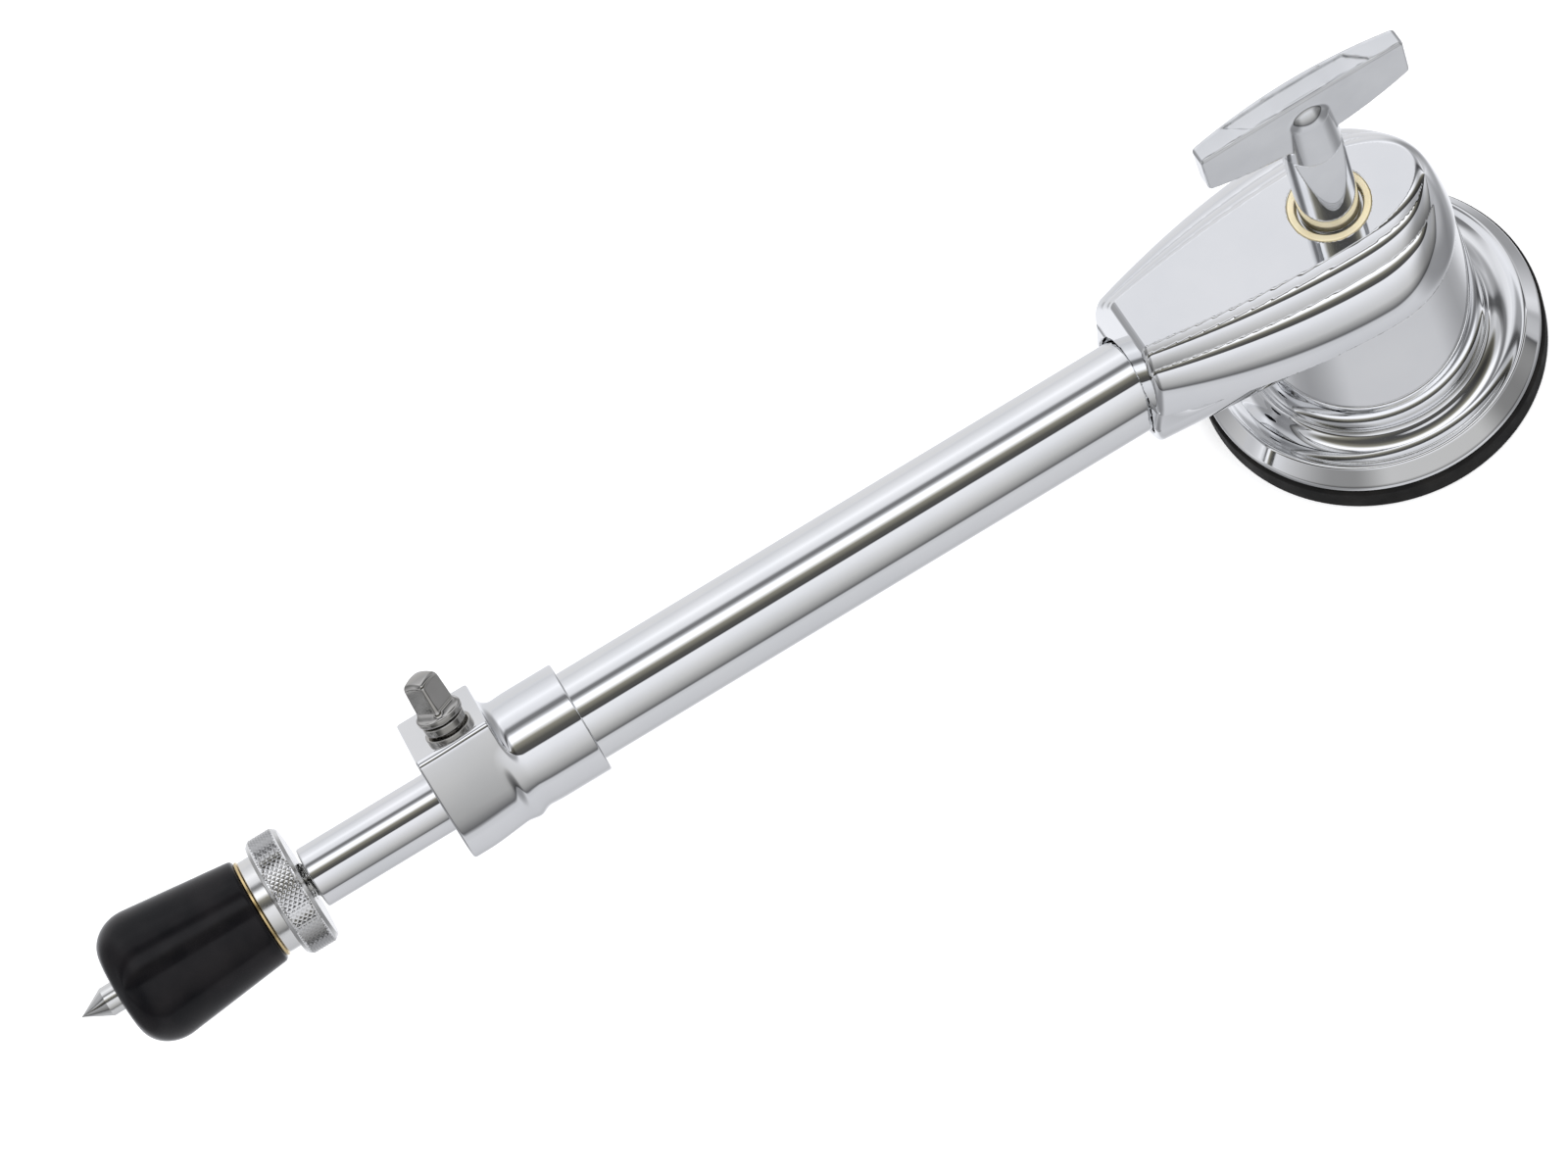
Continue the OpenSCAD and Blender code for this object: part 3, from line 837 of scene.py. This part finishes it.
def make_nut():
    """The lock nut: its knurled band, and its core with bevels and a plain hub."""
    add_piece("knurled_nut_band", knurled_nut_mesh(), "lock_nut", KNURL, ["knurled_nut"])
    back = HUB_X - HUB_LONG
    low_r = NUT_R - KNURL_DEPTH
    corners = [(NUT_X, STUD_R + 0.05), (NUT_X, NUT_R - 1.0, 0.1)]
    corners += [(NUT_X + 0.7, low_r, 0.1), (back - 0.7, low_r, 0.1), (back, NUT_R - 1.0, 0.1)]
    corners += [(back, HUB_R, 0.2), (HUB_X, HUB_R, 0.3), (HUB_X, STUD_R + 0.05)]
    hub = turned("nut_hub", corners, LEG_PLACE, 128)
    add_piece("knurled_nut_hub", hub, "lock_nut", ZINC, ["knurled_nut"])


def make_foot():
    """The rubber foot, the brass washer behind it and the turned spike."""
    nose_r, nose_l = 6.2, 7.44
    rounding = np.radians(np.linspace(98, 0, 22))
    nose_x = FOOT_FRONT - nose_l
    nose = [(nose_x + nose_l * math.cos(a), FOOT_R - nose_r + nose_r * math.sin(a)) for a in rounding]
    hole = 3.3
    corners = [(FOOT_BACK, 9), (FOOT_BACK, 11, 1.0), *nose, (FOOT_FRONT, hole, 0.5)]
    corners += [(258, hole), (258, 7), (FOOT_BACK + 1.5, 7), (FOOT_BACK + 1.5, 9)]
    foot = turned("rubber_foot", corners, LEG_PLACE, 160)
    add_piece("rubber_foot_cup", foot, "foot", FOOT, ["rubber_foot"])
    x0, x1 = reach("foot_washer")
    corners = [(x0, STUD_R + 0.05), (x0, 10.3, 0.12), (x1, 10.3, 0.12), (x1, STUD_R + 0.05)]
    washer = turned("foot_washer", corners, LEG_PLACE, 128)
    add_piece("foot_washer_brass", washer, "foot_carrier", BRASS, ["foot_washer"])
    spike_r, thread_end = 3.05, 262
    rows = thread_rows(reach("spike_stud")[0], thread_end, STUD_R, STUD_PITCH, 0.6)
    rows += [(thread_end + 0.5, spike_r), (TIP_X - 6.2, spike_r), (TIP_X - 5.65, spike_r)]
    rows += [(TIP_X - 5.55, spike_r - 0.03), (TIP_X - 0.35, 0.2), (TIP_X - 0.1, 0.12), (TIP_X, 0.02)]
    spike = rows_mesh("spike_stud", rows, LEG_PLACE)
    add_piece("spike_stud_turned", spike, "rod", ZINC, ["spike_stud"])


def paint_cad_nodes():
    """Materials for the inner CAD nodes that stay as they are."""
    looks = {
        "boss_insert": (BRASS, "brass"),
        "friction_washer": (IVORY, "guide_nylon"),
        "t_washer": (ZINC, "zinc_steel"),
        "tube_screw": (BLACK, "black_steel"),
        "guide_bush": (IVORY, "guide_nylon"),
        "clamp_shoe": (BRASS, "brass"),
        "rod_guide": (IVORY, "guide_nylon"),
        "rod_tip_plug": (ZINC, "zinc_steel"),
        "foot_insert": (BRASS, "brass"),
    }
    for name, (material, slot) in looks.items():
        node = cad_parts[name]
        node.data.materials.clear()
        node.data.materials.append(material)


# ---------------------------------------------------------------- stage, light and camera


def make_stage():
    """A white floor that reflections don't see, so that the studio's panels alone shape the chrome."""
    mesh = bpy.data.meshes.new("floor")
    size = 6.0
    corners = [(-size, -size, 0), (size, -size, 0), (size, size, 0), (-size, size, 0)]
    mesh.from_pydata(corners, [], [(0, 1, 2, 3)])
    floor = bpy.data.objects.new("floor", mesh)
    floor.location.z = -0.0003
    floor.visible_glossy = False
    bpy.context.scene.collection.objects.link(floor)
    material = bpy.data.materials.new("floor_paper")
    material.use_nodes = True
    nodes, links = material.node_tree.nodes, material.node_tree.links
    shader = nodes["Principled BSDF"]
    shader.inputs["Base Color"].default_value = (0.80, 0.80, 0.80, 1)
    shader.inputs["Roughness"].default_value = 0.9
    shader.inputs["Specular IOR Level"].default_value = 0.0
    lift = nodes.new("ShaderNodeEmission")
    lift.inputs["Strength"].default_value = 0.42
    both = nodes.new("ShaderNodeAddShader")
    links.new(shader.outputs[0], both.inputs[0])
    links.new(lift.outputs[0], both.inputs[1])
    links.new(both.outputs[0], nodes["Material Output"].inputs[0])
    mesh.materials.append(material)


# The studio round the leg's axis: degrees from -Y up over +Z, brightness and warmth of the panels.
# The brightness was typed in, following the profile measured across the tube in the photograph.
STUDIO = (
    (-140, 0.76, 0),
    (-122, 0.98, 0),
    (-104, 0.84, 0),
    (-94, 0.62, 0),
    (-84, 0.54, 0),
    (-62, 0.61, 0),
    (-26, 0.67, 0),
    (-17, 0.62, 0),
    (-13, 0.13, 0),
    (-4, 0.33, 0.1),
    (14, 0.58, 0.1),
    (40, 0.84, 0),
    (54.5, 0.92, 0),
    (56, 0.07, 0),
    (66, 0.10, 0.3),
    (77, 0.28, 0.5),
    (81, 0.70, 0.2),
    (86, 1.25, 0),
    (97, 1.15, 0),
    (101, 0.50, 0),
    (106, 0.19, 0),
    (112, 0.22, 0),
    (116, 0.62, 0),
    (119, 0.80, 0),
    (130, 0.92, 0),
    (139, 1.08, 0),
    (150, 0.88, 0),
    (172, 0.70, 0),
    (179.5, 0.74, 0),
)


# How the panels darken towards the leg's two ends, by the size of a direction's X.
DIM_CENTRE = 0.75
DIM_REACH = 0.55
DIM_FROM = (0.2, 0.5)
DIM_TO = (1.0, 0.45)


def math_node(nodes, links, operation, *values):
    """A Math node's result, fed with sockets or plain numbers."""
    node = nodes.new("ShaderNodeMath")
    node.operation = operation
    for socket, value in zip(node.inputs, values):
        if isinstance(value, (int, float)):
            socket.default_value = value
        else:
            links.new(value, socket)
    return node.outputs[0]


def fill_bands(stops):
    """Sets a colour ramp's stops to the studio's panels."""
    while len(stops) > 1:
        stops.remove(stops[-1])
    stops[0].position = 0
    stops[0].color = (0.74, 0.74, 0.75, 1)
    for degrees, level, warmth in STUDIO:
        stop = stops.new(degrees / 360 + 0.5)
        stop.color = (level * 0.99, level * (1 - 0.1 * warmth), level * (1.04 - 0.5 * warmth), 1)


def make_world():
    """Reflections see the studio's bands; everything else sees an even white."""
    world = bpy.data.worlds.new("studio")
    bpy.context.scene.world = world
    world.use_nodes = True
    nodes, links = world.node_tree.nodes, world.node_tree.links
    even = nodes["Background"]
    even.inputs["Color"].default_value = (0.84, 0.845, 0.86, 1)
    where = nodes.new("ShaderNodeTexCoord")
    parts = nodes.new("ShaderNodeSeparateXYZ")
    links.new(where.outputs["Generated"], parts.inputs[0])
    front = math_node(nodes, links, "MULTIPLY", parts.outputs["Y"], -1)
    angle = math_node(nodes, links, "ARCTAN2", parts.outputs["Z"], front)
    place = map_range(nodes, links, angle, (-math.pi, math.pi), (0, 1))
    bands = nodes.new("ShaderNodeValToRGB")
    fill_bands(bands.color_ramp.elements)
    links.new(place, bands.inputs["Fac"])
    across = math_node(nodes, links, "ABSOLUTE", parts.outputs["X"])
    off_panel = math_node(nodes, links, "SUBTRACT", across, DIM_CENTRE)
    distance = math_node(nodes, links, "ABSOLUTE", off_panel)
    closeness = math_node(nodes, links, "SUBTRACT", DIM_REACH, distance)
    dimming = map_range(nodes, links, closeness, DIM_FROM, DIM_TO, "SMOOTHSTEP")
    panels = nodes.new("ShaderNodeBackground")
    links.new(dimming, panels.inputs["Strength"])
    links.new(bands.outputs["Color"], panels.inputs["Color"])
    path = nodes.new("ShaderNodeLightPath")
    choose = nodes.new("ShaderNodeMixShader")
    links.new(path.outputs["Is Glossy Ray"], choose.inputs[0])
    links.new(even.outputs[0], choose.inputs[1])
    links.new(panels.outputs[0], choose.inputs[2])
    links.new(choose.outputs[0], nodes["World Output"].inputs["Surface"])


def make_lights():
    """Two soft lamps that reflections don't see."""
    for name, place, energy, size in (
        ("key", (-0.5, -0.6, 1.3), 8, 0.9),
        ("fill", (0.6, 0.7, 1.1), 5, 0.8),
    ):
        lamp = bpy.data.lights.new(name, "AREA")
        lamp.energy = energy
        lamp.size = size
        light = bpy.data.objects.new(name, lamp)
        light.location = place
        aim = Vector((-0.12, 0, 0.03)) - Vector(place)
        light.rotation_mode = "QUATERNION"
        light.rotation_quaternion = aim.to_track_quat("-Z", "Y")
        light.visible_glossy = False
        bpy.context.scene.collection.objects.link(light)


AZIMUTH, ELEVATION, ROLL = (math.radians(a) for a in (-4.58, 60.44, -27.10))
AIM = Vector((-0.1253, 0.0174, 0.0097))
DISTANCE = 1.2
LENS = 138.4


def make_camera():
    """The camera, aimed from an azimuth, an elevation and a roll."""
    back = Vector(
        (
            math.sin(AZIMUTH) * math.cos(ELEVATION),
            -math.cos(AZIMUTH) * math.cos(ELEVATION),
            math.sin(ELEVATION),
        )
    )
    level = Vector((0, 0, 1)).cross(back).normalized()
    upright = back.cross(level)
    right = level * math.cos(ROLL) + upright * math.sin(ROLL)
    up = upright * math.cos(ROLL) - level * math.sin(ROLL)
    data = bpy.data.cameras.new("camera")
    data.lens = LENS
    data.sensor_width = 36
    data.clip_start = 0.05
    data.clip_end = 50
    camera = bpy.data.objects.new("camera", data)
    turn = Matrix((right, up, back)).transposed().to_4x4()
    camera.matrix_world = Matrix.Translation(AIM + back * DISTANCE) @ turn
    bpy.context.scene.collection.objects.link(camera)
    bpy.context.scene.camera = camera


bpy.context.scene.view_settings.view_transform = "Standard"
make_bracket()
make_gasket()
make_arm()
make_t_bolt()
make_leg()
make_clamp()
make_nut()
make_foot()
paint_cad_nodes()
make_stage()
make_world()
make_lights()
make_camera()
